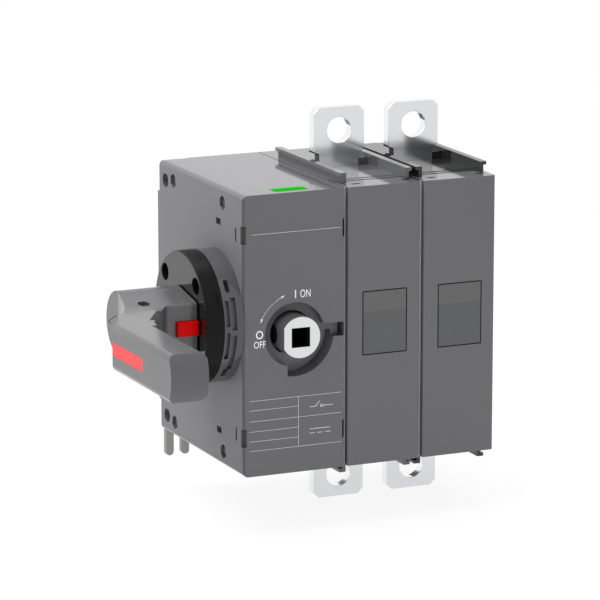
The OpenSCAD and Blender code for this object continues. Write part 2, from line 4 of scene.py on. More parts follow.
import bmesh
import bpy
import numpy as np
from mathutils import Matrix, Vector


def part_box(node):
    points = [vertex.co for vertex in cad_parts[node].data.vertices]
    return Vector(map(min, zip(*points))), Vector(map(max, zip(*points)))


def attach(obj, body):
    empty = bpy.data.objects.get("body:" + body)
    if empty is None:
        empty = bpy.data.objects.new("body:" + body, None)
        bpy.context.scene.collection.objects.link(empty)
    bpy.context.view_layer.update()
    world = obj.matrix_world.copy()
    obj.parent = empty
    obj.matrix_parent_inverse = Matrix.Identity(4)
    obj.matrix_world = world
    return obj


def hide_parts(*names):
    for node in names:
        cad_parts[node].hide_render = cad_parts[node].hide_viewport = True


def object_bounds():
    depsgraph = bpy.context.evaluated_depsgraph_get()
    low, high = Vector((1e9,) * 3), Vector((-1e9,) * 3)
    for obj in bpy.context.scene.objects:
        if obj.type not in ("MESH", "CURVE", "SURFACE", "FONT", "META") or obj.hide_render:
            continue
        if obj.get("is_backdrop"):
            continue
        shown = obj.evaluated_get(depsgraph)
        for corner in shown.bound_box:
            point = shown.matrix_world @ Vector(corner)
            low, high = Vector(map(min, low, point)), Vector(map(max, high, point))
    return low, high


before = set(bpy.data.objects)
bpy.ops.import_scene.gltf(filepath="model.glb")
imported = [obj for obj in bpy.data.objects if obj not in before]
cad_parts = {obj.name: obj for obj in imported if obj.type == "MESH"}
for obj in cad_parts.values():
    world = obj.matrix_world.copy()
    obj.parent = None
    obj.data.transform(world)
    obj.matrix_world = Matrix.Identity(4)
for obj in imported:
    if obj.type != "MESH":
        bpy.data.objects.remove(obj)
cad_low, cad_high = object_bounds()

# ---------------------------------------------------------------- studio
# The switch stands on a pale matt floor, with one large soft box above it and one at its left.
# The camera and every mirror see floor and sky as white, and the floor keeps the soft shadow.

FLOOR_HALF = 6.0
SHADOW_ZONE, SHADOW_WHITE = (0.2, 1.2), 0.9
SENSOR, LENS = 36.0, 231.68
CAMERA_PLACE, CAMERA_TILT, CAMERA_TURN = (-0.8429, -1.9079, 0.4534), 12.518, -24.123


class Shade:
    """A shader socket that joins in Python sums; each operator adds one Math node."""

    def __init__(self, tree, socket):
        self.tree, self.socket = tree, socket

    def math(self, operation, *values):
        """Adds a Math node of that operation on the values, in their order."""
        return self.node("ShaderNodeMath", {"operation": operation}, dict(enumerate(values)))

    def node(self, kind, settings=(), values=(), output=0):
        """Adds any node: its settings first, then the values or links of its sockets."""
        made = self.tree.nodes.new(kind)
        for key, value in dict(settings).items():
            setattr(made, key, value)
        for key, value in dict(values).items():
            if isinstance(value, Shade):
                value.feed(made.inputs[key])
            else:
                made.inputs[key].default_value = value
        return Shade(self.tree, made.outputs[output])

    def feed(self, socket):
        """Links this socket to another node's."""
        self.tree.links.new(self.socket, socket)

    def __add__(self, other):
        return self.math("ADD", self, other)

    def __radd__(self, other):
        return self.math("ADD", other, self)

    def __mul__(self, other):
        return self.math("MULTIPLY", self, other)

    def __rmul__(self, other):
        return self.math("MULTIPLY", other, self)


def emptied(owner, kind):
    """Clears a material's or a world's nodes: returns its output's surface socket and a first Shade."""
    owner.use_nodes = True
    owner.node_tree.nodes.clear()
    out = owner.node_tree.nodes.new(kind)
    return out.inputs["Surface"], Shade(owner.node_tree, None)


def new_material(name):
    """An empty node material: returns it, its output's surface socket and a Shade to start from."""
    made = bpy.data.materials.new(name)
    return made, *emptied(made, "ShaderNodeOutputMaterial")


def linear(*srgb):
    """Colour values of 0 to 255 as they look, turned to the linear values a shader takes.

    A share of 255 is divided by 12.92 where it is small. Above that, 0.055 is added to it, the sum
    is divided by 1.055, and that goes to the power 2.4.
    """
    part = np.array(srgb) / 255
    low = part / 12.92
    high = ((part + 0.055) / 1.055) ** 2.4
    return (*np.where(part <= 0.04045, low, high).tolist(), 1.0)


def sheet_object(name, points, faces):
    """An object at the origin with those points, in metres, and faces."""
    mesh = bpy.data.meshes.new(name)
    mesh.from_pydata(np.asarray(points, float).reshape(-1, 3), [], faces)
    mesh.update()
    made = bpy.data.objects.new(name, mesh)
    bpy.context.scene.collection.objects.link(made)
    return made


def soft_box(name, place, size, power):
    """A square area lamp at place that faces the origin.

    It tilts by the angle whose tangent is its level distance over its height, and turns to the
    angle at which it stands round the origin, plus a quarter turn.
    """
    lamp = bpy.data.lights.new(name, "AREA")
    lamp.size, lamp.energy = size, power
    made = bpy.data.objects.new(name, lamp)
    bpy.context.scene.collection.objects.link(made)
    made.location = place
    tilt = math.atan2(math.hypot(place[0], place[1]), place[2])
    made.rotation_euler = (tilt, 0, math.atan2(place[1], place[0]) + math.pi / 2)


floor = sheet_object(
    "studio_floor",
    [(x * FLOOR_HALF, y * FLOOR_HALF, cad_low[2]) for x, y in ((-1, -1), (1, -1), (1, 1), (-1, 1))],
    [(0, 1, 2, 3)])
floor_paint, surface, start = new_material("floor_paint")
seen = start.node("ShaderNodeLightPath", output="Is Camera Ray")
mirrored = start.node("ShaderNodeLightPath", output="Is Glossy Ray")
white = start.node("ShaderNodeEmission", values={"Color": (1, 1, 1, 1), "Strength": 1.0})
matt = start.node("ShaderNodeBsdfDiffuse", values={"Color": (0.90, 0.90, 0.90, 1)})
spot = start.node("ShaderNodeTexCoord", output="Object")
away = start.node("ShaderNodeVectorMath", {"operation": "LENGTH"}, {0: spot}, output=1)
plainly = start.node("ShaderNodeMapRange", {"interpolation_type": "SMOOTHSTEP"}, {
    "Value": away, "From Min": SHADOW_ZONE[0], "From Max": SHADOW_ZONE[1],
    "To Min": SHADOW_WHITE, "To Max": 1.0})
start.node("ShaderNodeMixShader", values={0: (seen + mirrored) * plainly, 1: matt, 2: white}).feed(surface)
floor.data.materials.append(floor_paint)
floor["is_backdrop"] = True

world = bpy.data.worlds.new("studio_sky")
bpy.context.scene.world = world
surface, start = emptied(world, "ShaderNodeOutputWorld")
seen = start.node("ShaderNodeLightPath", output="Is Camera Ray")
mirrored = start.node("ShaderNodeLightPath", output="Is Glossy Ray")
sky_seen = start.node("ShaderNodeBackground", values={"Color": (1, 1, 1, 1), "Strength": 1.0})
sky_lit = start.node("ShaderNodeBackground", values={"Color": (1, 1, 1, 1), "Strength": 0.72})
start.node("ShaderNodeMixShader", values={
    0: start.math("MAXIMUM", seen, mirrored), 1: sky_lit, 2: sky_seen}).feed(surface)
bpy.context.scene.view_settings.view_transform = "Standard"

soft_box("soft_box_left", (-1.6, -0.5, 0.9), 1.4, 12)
soft_box("soft_box_top", (-0.5, 0.3, 1.8), 1.8, 60)

camera = bpy.data.cameras.new("camera")
camera.sensor_width, camera.lens = SENSOR, LENS
viewer = bpy.data.objects.new("camera", camera)
bpy.context.scene.collection.objects.link(viewer)
viewer.location = CAMERA_PLACE
viewer.rotation_euler = (math.radians(90 - CAMERA_TILT), 0, math.radians(CAMERA_TURN))
bpy.context.scene.camera = viewer

# ---------------------------------------------------------------- drive module
# A deep box moulded in dark grey glass-filled polyester, fairly glossy in front and satin at the
# left, that holds the switch's drive. It keeps its CAD shape, with its moulded edges broken by a
# small radius, and a ledge let into its front. Light and shade are painted on it: its left side and
# its sector floor are coloured lighter, its rounded front edge and left notches darker, and its
# recess floor is toned for the shade in it. A dark end wall in its channel and two dark slabs in
# the notches at its right stand for the shade there.

# Sizes are in mm, and MM turns them to metres; points within MERGE metres are one. A bend is level
# below the first angle, smooth below the second, and a corner, with the small radius, above the third.
MM, MERGE = 0.001, 1e-6
LEVEL, SMOOTH, CORNER = math.radians(0.5), math.radians(30), math.radians(35)
# A face may lie NEAR its place and still be picked. By its normal, it faces a way, stands aside from
# it, or only leans to it.
NEAR, FACING, ASIDE, LEANING = 0.1, 0.9, 0.5, 0.05
FRONT, LEFT, TOP = -116.0, -73.0, 75.0
FRONT_EDGE_R, EDGE_REACH = 1.2, 3.0
RECESS_DEPTH, RECESS_REACH, SECTOR_LEFT = 5.0, 25.0, -50.0
NOTCH_WIDTH, NOTCH_DEPTH, NOTCH_HALF, NOTCH_UP = 2.2, 2.6, 4.8, 54.0
# The slabs let into the front: where each lies from its left, its size, and its depth behind it.
LEDGE_ACROSS, LEDGE_HEIGHT, LEDGE_BACK = (54.5, 56.4), 7.3, 5.4
WALL_ACROSS, WALL_HEIGHT, WALL_IN, WALL_BACK = (57.6, 57.95), 7.2, 0.1, 10.8
SHADE_SLAB_ACROSS, SHADE_SLAB_HALF, SHADE_SLAB_WIDTH, SHADE_SLAB_IN, SHADE_SLAB_BACK = 57.4, 4.7, 1.0, 0.15, 2.5
COLOUR_DRIFT, GLOSS_DRIFT, SKIN_GRAIN = 0.04, 0.06, 0.05


def dress(node, name, finish, radius=0.35, body="switch", trim=None):
    """A merged copy of a CAD node with its edges rounded to radius mm; it stands for the node.

    trim, where given, mends the merged mesh before its edges are rounded.
    """
    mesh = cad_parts[node].data.copy()
    mesh.name = name
    work = bmesh.new()
    work.from_mesh(mesh)
    bmesh.ops.remove_doubles(work, verts=work.verts, dist=MERGE)
    if trim:
        trim(work)
    bmesh.ops.dissolve_limit(work, angle_limit=LEVEL, verts=work.verts, edges=work.edges)
    for edge in work.edges:
        edge.smooth = len(edge.link_faces) == 2 and edge.calc_face_angle(0) < SMOOTH
    for face in work.faces:
        face.smooth = True
    work.to_mesh(mesh)
    work.free()
    mesh.materials.clear()
    mesh.materials.append(finish)
    made = bpy.data.objects.new(name, mesh)
    bpy.context.scene.collection.objects.link(made)
    if radius:
        bevel = made.modifiers.new("moulded_edge", "BEVEL")
        bevel.width, bevel.segments = radius * MM, 2
        bevel.limit_method, bevel.angle_limit = "ANGLE", CORNER
        bevel.harden_normals = True
    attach(made, body)
    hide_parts(node)
    return made


def paint(piece, finish, chosen):
    """Gives finish to the faces that chosen picks from their middles, in mm, and their normals."""
    mesh = piece.data
    count = len(mesh.polygons)
    middles, normals = np.empty(count * 3), np.empty(count * 3)
    mesh.polygons.foreach_get("center", middles)
    mesh.polygons.foreach_get("normal", normals)
    index = np.zeros(count, np.int32)
    mesh.polygons.foreach_get("material_index", index)
    index[chosen(middles.reshape(-1, 3).T / MM, normals.reshape(-1, 3).T)] = len(mesh.materials)
    mesh.materials.append(finish)
    mesh.polygons.foreach_set("material_index", index)


def moulded(name, colour, roughness, shine=0.5):
    """Moulded plastic: its colour and gloss drift slowly, and a fine skin grain breaks the gloss."""
    made, surface, start = new_material(name)
    place = start.node("ShaderNodeTexCoord", output="Object")
    cloud = start.node("ShaderNodeTexNoise", values={"Vector": place, "Scale": 24.0, "Detail": 3.0})
    skin = start.node("ShaderNodeTexNoise", values={"Vector": place, "Scale": 2600.0, "Detail": 2.0})
    darker, lighter = ([value * share for value in colour[:3]] + [1]
                       for share in (1 - COLOUR_DRIFT, 1 + COLOUR_DRIFT))
    tone = start.node("ShaderNodeMix", {"data_type": "RGBA"}, {
        "Factor": cloud, 6: darker, 7: lighter}, output=2)
    bump = start.node("ShaderNodeBump", values={
        "Strength": SKIN_GRAIN, "Distance": 0.0001, "Height": skin})
    start.node("ShaderNodeBsdfPrincipled", values={
        "Base Color": tone, "Roughness": cloud * GLOSS_DRIFT + (roughness - GLOSS_DRIFT / 2),
        "Normal": bump, "Specular IOR Level": shine, "IOR": 1.5}).feed(surface)
    return made


def band(points, width, ring=False, out=0.05, sunk=0.02):
    """A flat band along a path, as (across, up, rise) points in mm, and its faces.

    The path's tangent is found by differences, and each point moves half the width to either side
    along the normal, then out and in by the band's thickness: a rectangle carried along the path.
    """
    path = np.asarray(points, float)
    if ring:
        tangent = np.roll(path, -1, 0) - np.roll(path, 1, 0)
    else:
        tangent = np.gradient(path, axis=0)
    tangent /= np.linalg.norm(tangent, axis=1)[:, None]
    normal = np.stack([-tangent[:, 1], tangent[:, 0]], 1) * (np.broadcast_to(width, len(path)) / 2)[:, None]
    flat = np.stack([path - normal, path + normal, path + normal, path - normal], 1)
    rise = np.broadcast_to([out, out, -sunk, -sunk], flat.shape[:2])
    verts = np.concatenate([flat, rise[..., None]], 2).reshape(-1, 3)
    count = len(path)
    steps = np.arange(count if ring else count - 1)
    corner = np.arange(4)
    here, there = steps[:, None] * 4, ((steps + 1) % count)[:, None] * 4
    faces = np.stack([here + corner, here + (corner + 1) % 4, there + (corner + 1) % 4, there + corner], 2)
    faces = faces.reshape(-1, 4).tolist()
    if not ring:
        faces += [[3, 2, 1, 0], [count * 4 - 4, count * 4 - 3, count * 4 - 2, count * 4 - 1]]
    return verts, faces


def face_out(mesh):
    """Merges a mesh's doubles and turns its faces outwards."""
    work = bmesh.new()
    work.from_mesh(mesh)
    bmesh.ops.remove_doubles(work, verts=work.verts, dist=MERGE)
    bmesh.ops.recalc_face_normals(work, faces=work.faces)
    work.to_mesh(mesh)
    work.free()


def joined(name, parts, place, finish, body):
    """One piece from parts of (points, faces): place turns the points into (x, y, z) in mm."""
    verts, faces, count = [], [], 0
    for part_verts, part_faces in parts:
        verts.append(part_verts)
        faces += [[index + count for index in face] for face in part_faces]
        count += len(part_verts)
    piece = sheet_object(name, place(np.concatenate(verts).T).T * MM, faces)
    face_out(piece.data)
    piece.data.materials.append(finish)
    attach(piece, body)
    return piece


def left_wall(middles, normals):
    """The broad left side, where the adapter sits: a satin skin, and a lighter colour painted for the light
    that falls on that side.
    """
    return (normals[0] < -FACING) & (middles[0] < LEFT + NEAR)


def rounded_edge(middles, normals):
    """The rounded upright edge between the front and the left side."""
    return ((normals[0] < -LEANING) & (normals[1] < -LEANING)
            & (middles[0] < LEFT + EDGE_REACH) & (middles[1] < FRONT + EDGE_REACH))


def recess_floor(middles, normals):
    """The floor of the round recess and of the locking channel."""
    return ((normals[1] < -FACING) & (np.abs(middles[1] - FRONT - RECESS_DEPTH) < 2 * NEAR)
            & (np.abs(middles[2]) < RECESS_REACH))


def sector_floor(middles, normals):
    """The floor of the deeper sector beside the drive bush."""
    return ((normals[1] < -FACING) & (middles[1] > FRONT + RECESS_DEPTH + 2 * NEAR)
            & (middles[0] > SECTOR_LEFT) & (np.abs(middles[2]) < RECESS_REACH))


def left_notch(middles, normals):
    """The two small notches in the front-left edge."""
    across, deep = middles[0] - LEFT, middles[1] - FRONT
    return ((across > NEAR) & (across < NOTCH_WIDTH + NEAR)
            & (deep > FRONT_EDGE_R) & (deep < NOTCH_DEPTH + NEAR)
            & (np.abs(np.abs(middles[2]) - NOTCH_UP) < NOTCH_HALF + NEAR))


def on_front(points):
    """Places (across, up, rise) from the lower left corner of the front."""
    return np.stack([points[0] + LEFT, FRONT - points[2], points[1] - TOP])


housing_plastic = moulded("housing_plastic", linear(83, 83, 86), 0.07, shine=0.62)
# Painted light: the left side takes a lighter colour for the light that falls on it, with a satin skin.
side_lit_plastic = moulded("side_lit_plastic", linear(100, 100, 102), 0.5, shine=0.12)
# Painted shade: the rounded upright front edge is coloured darker than both faces beside it.
edge_shade_plastic = moulded("edge_shade_plastic", linear(76, 76, 78), 0.3, shine=0.2)
# Painted light: the deep sector's floor is coloured much lighter, lifting the shade in it.
sector_lit_plastic = moulded("sector_lit_plastic", linear(128, 128, 130), 0.4, shine=0.2)
# Painted shade: the recess floor and the ledge take their own tone and a duller gloss, set for the shade in
# the recess.
recess_shade_plastic = moulded("recess_shade_plastic", linear(88, 88, 90), 0.25, shine=0.3)
# Painted shade: the left notches and the channel's end wall are coloured darker than the housing.
notch_shade = moulded("notch_shade", linear(74, 74, 75), 0.5, shine=0.1)
# Black for the dark joints, the pane seals and the marks on the plate and hub, and also as painted shade in
# the latch slots, the right notches, the socket, the bush's cross hole and under the terminals' shoulders.
dark_marks_and_shade = moulded("marks_and_shade_black", linear(22, 22, 23), 0.6, shine=0.0)
drive_housing = dress("mechanism_housing", "drive_housing", housing_plastic)
for finish, chosen in ((side_lit_plastic, left_wall), (sector_lit_plastic, sector_floor),
                       (edge_shade_plastic, rounded_edge), (recess_shade_plastic, recess_floor),
                       (notch_shade, left_notch)):
    paint(drive_housing, finish, chosen)

ledge = band([(across, TOP) for across in LEDGE_ACROSS], LEDGE_HEIGHT, out=-RECESS_DEPTH, sunk=LEDGE_BACK)
# Painted shade: a thin dark wall closes the channel's end and stands for the shade there.
end_shade = band([(across, TOP) for across in WALL_ACROSS], WALL_HEIGHT, out=-WALL_IN, sunk=WALL_BACK)
# Painted shade: two black slabs in the notches at the front's right edge stand for the shade in them.
notch_shade_slabs = [band([(SHADE_SLAB_ACROSS, height - SHADE_SLAB_HALF), (SHADE_SLAB_ACROSS, height + SHADE_SLAB_HALF)], SHADE_SLAB_WIDTH,
              out=-SHADE_SLAB_IN, sunk=SHADE_SLAB_BACK)
         for height in (TOP - NOTCH_UP, TOP + NOTCH_UP)]
joined("channel_ledge", [ledge], on_front, recess_shade_plastic, "switch")
joined("channel_end_shade", [end_shade], on_front, notch_shade, "switch")
joined("cover_notch_shade_slabs", notch_shade_slabs, on_front, dark_marks_and_shade, "switch")

# ---------------------------------------------------------------- poles
# Each pole is a deep box of the same moulding with a front cover snapped on, and the second one's
# box is moulded in black. The joints read as dark lines, and the insides of the latch slots are
# painted black as their shade. The floor of the groove beside each cover is painted pale, painted
# light against the groove's shade, and a low stop moulded on the top and on the bottom stands
# beside each terminal bar.

POLE_LEFT = {"pole_1": -15.0, "pole_2": 29.0}
ENDS = {"top": 1, "bottom": -1}
LATCH_DEPTH, GROOVE_DEPTH = 2.0, 2.6
# The plain block of the CAD and the low stop in its stead: left and right from the pole's left side.
BLOCK_LEFT, BLOCK_RIGHT, BLOCK_FRONT, BLOCK_BACK = 28.0, 39.0, -72.5, -70.0
STOP_LEFT, STOP_RIGHT, STOP_FRONT, STOP_BACK, STOP_RISE, STOP_EDGE = 34.3, 39.65, -58.4, -54.3, 3.7, 0.4
# Each joint's depth and the rise of its line, which stops at the barrier ribs.
JOINT_WIDTH, JOINTS = 0.45, ((-99.4, 0.12), (-93.8, 0.09))
BETWEEN_RIBS = ((0.4, 3.3), (5.7, 39.5), (41.9, 43.8))


def in_joint(middles, normals):
    """Faces sunk in the joint grooves and latch slots of the top and bottom."""
    height = np.abs(middles[2])
    return (height > TOP - LATCH_DEPTH - NEAR) & (height < TOP - NEAR / 2)


def groove_floor(middles, normals):
    """The floor of the upright groove at the left of a pole's cover."""
    return (normals[1] < -FACING) & (np.abs(middles[1] - FRONT - GROOVE_DEPTH) < 2 * NEAR)


def level_ends(left):
    """Makes a trim that takes the plain block off a pole's top and bottom, where its stop stands."""

    def trim(work):
        block = [vert for vert in work.verts
                 if left + BLOCK_LEFT - NEAR < vert.co.x / MM < left + BLOCK_RIGHT + NEAR
                 and BLOCK_FRONT - NEAR < vert.co.y / MM < BLOCK_BACK + NEAR
                 and abs(vert.co.z) / MM > TOP - NEAR]
        faces = [face for face in work.faces if all(vert in block for vert in face.verts)]
        rims = [edge for edge in work.edges
                if all(vert in block and abs(vert.co.z) / MM < TOP + NEAR for vert in edge.verts)]
        bmesh.ops.delete(work, geom=faces, context="FACES")
        bmesh.ops.holes_fill(work, edges=[edge for edge in rims if edge.is_valid], sides=0)

    return trim


def on_end(way):
    """Makes a place for (across, depth, rise) on the top, or on the bottom where way is -1."""
    return lambda points: np.stack([points[0], points[1], way * (TOP + points[2])])


# Painted light: a pale copy of the plastic for the shaded groove floors.
groove_lit_plastic = moulded("groove_lit_plastic", linear(160, 160, 162), 0.4, shine=0.2)
base_black = moulded("base_black", linear(36, 36, 36), 0.07, shine=0.5)
for pole, left in POLE_LEFT.items():
    box_plastic = housing_plastic if pole == "pole_1" else base_black
    base = dress(f"{pole}_base", f"{pole}_housing", box_plastic, 0.2, trim=level_ends(left))
    cover = dress(f"{pole}_cover", f"{pole}_front", housing_plastic)
    # The joint grooves are dark joints; the insides of the latch slots are painted black as shade.
    paint(base, dark_marks_and_shade, in_joint)
    paint(cover, dark_marks_and_shade, in_joint)
    # Painted light: the groove's floor is coloured pale against the shade in the groove.
    paint(base, groove_lit_plastic, groove_floor)
    lines = [band([(left + first, depth), (left + last, depth)], JOINT_WIDTH, out=rise)
             for depth, rise in JOINTS for first, last in BETWEEN_RIBS]
    depth = (STOP_FRONT + STOP_BACK) / 2
    block = band([(left + STOP_LEFT, depth), (left + STOP_RIGHT, depth)], STOP_BACK - STOP_FRONT,
                 out=STOP_RISE)
    for end, way in ENDS.items():
        joined(f"{pole}_{end}_joint_lines", lines, on_end(way), dark_marks_and_shade, "switch")
        stop = joined(f"{pole}_{end}_stop", [block], on_end(way), box_plastic, "switch")
        bevel = stop.modifiers.new("moulded_edge", "BEVEL")
        bevel.width, bevel.segments, bevel.harden_normals = STOP_EDGE * MM, 3, True

# ---------------------------------------------------------------- status indicator
# A small insert of matt green plastic, moulded on its own and pressed into the top of the drive
# module until it is flush, just behind the front edge.

green = moulded("indicator_green", linear(6, 140, 6), 0.9, shine=0.02)
dress("status_indicator", "indicator_insert", green, 0.2)

# ---------------------------------------------------------------- inspection windows
# A pane of smoked clear plastic, let flush into each pole cover, shows the copper contacts behind
# it. Its colour is a little lighter above a set height, and a thin dark seal runs round it.

LIGHTER_ABOVE, SEAL_WIDTH = 7.7, 0.55

pane_plastic, surface, start = new_material("pane_plastic")
place = start.node("ShaderNodeTexCoord", output="Object")
height = start.node("ShaderNodeSeparateXYZ", values={0: place}, output=2)
upper = start.math("GREATER_THAN", height, LIGHTER_ABOVE * MM)
pane_tone = start.node("ShaderNodeMix", {"data_type": "RGBA"}, {
    "Factor": upper, 6: linear(78, 79, 80), 7: linear(86, 86, 86)}, output=2)
haze = start.node("ShaderNodeTexNoise", values={"Vector": place, "Scale": 90.0, "Detail": 4.0})
start.node("ShaderNodeBsdfPrincipled", values={
    "Base Color": pane_tone, "Roughness": haze * 0.08 + 0.06, "IOR": 1.5, "Alpha": 0.92}).feed(surface)

copper, surface, start = new_material("contact_copper")
place = start.node("ShaderNodeTexCoord", output="Object")
tarnish = start.node("ShaderNodeTexNoise", values={"Vector": place, "Scale": 160.0, "Detail": 4.0})
bronze = start.node("ShaderNodeMix", {"data_type": "RGBA"}, {
    "Factor": tarnish, 6: (0.80, 0.45, 0.28, 1), 7: (0.62, 0.33, 0.20, 1)}, output=2)
start.node("ShaderNodeBsdfPrincipled", values={
    "Base Color": bronze, "Metallic": 1.0, "Roughness": tarnish * 0.2 + 0.25}).feed(surface)

for pole in POLE_LEFT:
    dress(f"{pole}_window", f"{pole}_pane", pane_plastic, 0.15)
    dress(f"{pole}_contacts", f"{pole}_contact_set", copper, 0.2)
    low, high = (np.array(corner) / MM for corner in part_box(f"{pole}_window"))
    west, east, south, north = low[0] - LEFT, high[0] - LEFT, low[2] + TOP, high[2] + TOP
    sides = (((west, south), (west, north)), ((east, south), (east, north)),
             ((west, south), (east, south)), ((west, north), (east, north)))
    seal = [band(side, SEAL_WIDTH) for side in sides]
    joined(f"{pole}_pane_seal", seal, on_front, dark_marks_and_shade, "switch")

# ---------------------------------------------------------------- terminals
# Flat copper bars with a bolt hole, cut to shape and tin-plated, are held in the top and bottom of
# each pole. Their cut sides are a brighter tin, a painted highlight for the light they reflect. The
# undersides of their shoulders are painted black for the shade there, and black lines painted along
# the left shoulder's front and the bar's left side stand for that shade too.

# The bar's faces, its middle from the pole's left side, its half widths, and its shoulders' heights.
BAR_FRONT, BAR_BACK, BAR_MIDDLE, BAR_HALF, NECK_HALF = -60.0, -54.2, 22.4, 15.0, 11.7
SHOULDER_LOW, SHOULDER_HIGH, SHOULDER_ZONE, SHOULDER_LINE = 82.2, 83.6, 8.0, 0.6
PLATE_DRIFT = 0.1


def plated(name, colour, roughness, brushed=0.0):
    """Plated metal with a fine drawn grain, stretched along Z, and slightly uneven gloss."""
    made, surface, start = new_material(name)
    place = start.node("ShaderNodeTexCoord", output="Object")
    drawn = start.node("ShaderNodeMapping", values={"Vector": place, "Scale": (1.0, 1.0, 0.06)})
    grain = start.node("ShaderNodeTexNoise", values={"Vector": drawn, "Scale": 1800.0, "Detail": 3.0})
    cloud = start.node("ShaderNodeTexNoise", values={"Vector": place, "Scale": 60.0, "Detail": 3.0})
    bump = start.node("ShaderNodeBump", values={
        "Strength": brushed, "Distance": 0.00005, "Height": grain})
    start.node("ShaderNodeBsdfPrincipled", values={
        "Base Color": colour, "Metallic": 1.0, "Normal": bump,
        "Roughness": cloud * PLATE_DRIFT + (roughness - PLATE_DRIFT / 2)}).feed(surface)
    return made


def sheared_edges(middles, normals):
    """The bar's cut sides, its corners and its bolt hole, outside the housing."""
    return (np.abs(normals[1]) < ASIDE) & (np.abs(middles[2]) > TOP)


def shoulder_undersides(middles, normals):
    """The faces of the bar's shoulders that look back at the housing."""
    height = np.abs(middles[2])
    return (normals[2] * np.sign(middles[2]) < -ASIDE) & (height > TOP) & (height < TOP + SHOULDER_ZONE)


def on_bar_front(middle, way):
    """Makes a place for (out to the left, up, rise) on a bar's front, from the middle of its width."""
    return lambda points: np.stack([middle - points[0], BAR_FRONT - points[2], way * points[1]])


def on_bar_side(middle, way):
    """Makes a place for (depth, up, rise) on a bar's left side."""
    return lambda points: np.stack([middle - BAR_HALF - points[2], points[0], way * points[1]])


tin = plated("tin_plate", linear(219, 222, 224), 0.13, 0.03)
# Painted highlight: a brighter tin for the bars' cut sides, for the light they reflect.
tin_edge_sheen = plated("tin_edge_sheen", linear(239, 243, 244), 0.13)
slant = band([(NECK_HALF, SHOULDER_LOW), (BAR_HALF, SHOULDER_HIGH)], SHOULDER_LINE)
level = band([(BAR_FRONT, SHOULDER_HIGH), (BAR_BACK, SHOULDER_HIGH)], SHOULDER_LINE)
for pole, left in POLE_LEFT.items():
    middle = left + BAR_MIDDLE
    for end, way in ENDS.items():
        bar = dress(f"{pole}_{end}_terminal", f"{pole}_{end}_bar", tin, 0.25)
        paint(bar, tin_edge_sheen, sheared_edges)
        # Painted shade: the shoulders' undersides are black, and black lines on the left shoulder's front
        # and the bar's left side stand for the shade under it.
        paint(bar, dark_marks_and_shade, shoulder_undersides)
        joined(f"{pole}_{end}_shoulder_front", [slant], on_bar_front(middle, way), dark_marks_and_shade,
               "switch")
        joined(f"{pole}_{end}_shoulder_edge_shade", [level], on_bar_side(middle, way), dark_marks_and_shade,
               "switch")

# ---------------------------------------------------------------- drive bush
# The turned steel bush that an extension shaft plugs into, and that turns with the drive shaft. Its
# face is bright nickel plate. Its sides have a black finish, and their matt grey tone is painted for
# the shade of the recess round them. Its square socket and the cross hole in its flat are deep and
# unlit: the socket's inside is painted black as that shade, and the hole is a black disc on the flat.

BUSH_X, BUSH_Z, BUSH_FRONT, BUSH_FLAT = -43.5, -0.6, -124.0, 9.5
SOCKET_HALF = 5.2
HOLE_DEPTH, HOLE_R, HOLE_RISE = -110.0, 5.0, 0.05


def bush_side(middles, normals):
    """Faces round the bush."""
    return np.abs(normals[1]) < ASIDE


def in_socket(middles, normals):
    """Faces inside the square socket."""
    off = np.maximum(np.abs(middles[0] - BUSH_X), np.abs(middles[2] - BUSH_Z))
    return (off < SOCKET_HALF + NEAR) & (middles[1] > BUSH_FRONT + NEAR)


def coin(outline, thick):
    """A closed outline as a thin plate: the same points at two rises, with caps and a rim."""
    count = len(outline)
    verts = np.concatenate([np.c_[outline, np.full(count, thick)], np.c_[outline, np.zeros(count)]])
    here = np.arange(count)
    there = (here + 1) % count
    rim = np.stack([here, there, there + count, here + count], 1).tolist()
    return verts, [here.tolist(), (here[::-1] + count).tolist()] + rim


def ring_points(centre, half_wide, half_high, count):
    """Points round an oval: the centre plus half the width times the cosine, half the height the sine."""
    turn = np.arange(count) * 2 * np.pi / count
    return np.stack([centre[0] + half_wide * np.cos(turn), centre[1] + half_high * np.sin(turn)], 1)


def on_bush_flat(points):
    """Places (depth, height, rise) on the flat at the left of the bush."""
    return np.stack([BUSH_X - BUSH_FLAT - points[2], points[0], BUSH_Z + points[1]])


nickel = plated("nickel_plate", linear(219, 221, 222), 0.25, 0.1)
# Painted shade: the bush's sides, of a black finish, take a matt grey toned for the shade of the recess.
blackened_and_shaded = moulded("bush_side_shade_grey", linear(76, 76, 77), 0.35, shine=0.3)
shaft_bush = dress("drive_bush", "shaft_bush", nickel, 0.3, body="drive_shaft")
paint(shaft_bush, blackened_and_shaded, bush_side)
# Painted shade: the socket's inside is black, and a black disc on the flat stands for the cross hole's dark
# inside.
paint(shaft_bush, dark_marks_and_shade, in_socket)
hole_shade_disc = coin(ring_points((HOLE_DEPTH, 0.0), HOLE_R, HOLE_R, 40), HOLE_RISE)
joined("bush_hole_shade_disc", [hole_shade_disc], on_bush_flat, dark_marks_and_shade, "drive_shaft")

# ---------------------------------------------------------------- tie rods and feet
# Four long steel rods, each with a round head and a nut let into the sides, clamp the modules
# together, and four steel foot plates slide in pockets of the back. All are zinc-plated.

zinc = plated("zinc_plate", linear(150, 150, 148), 0.42, 0.2)
rod_zinc = plated("rod_zinc", linear(96, 96, 97), 0.4, 0.2)
for end in ENDS:
    for place in ("front", "rear"):
        dress(f"tie_rod_{end}_{place}", f"rod_{end}_{place}", rod_zinc, 0.15)
    for side in ("left", "right"):
        dress(f"foot_{end}_{side}", f"foot_plate_{end}_{side}", zinc, 0.25)

# ---------------------------------------------------------------- side adapter and plate
# The adapter is a thick grey moulded ring, fixed to the left side of the drive module. The polished
# black moulded plate on it has four screw holes, a satin rim and one short mark on the rim.

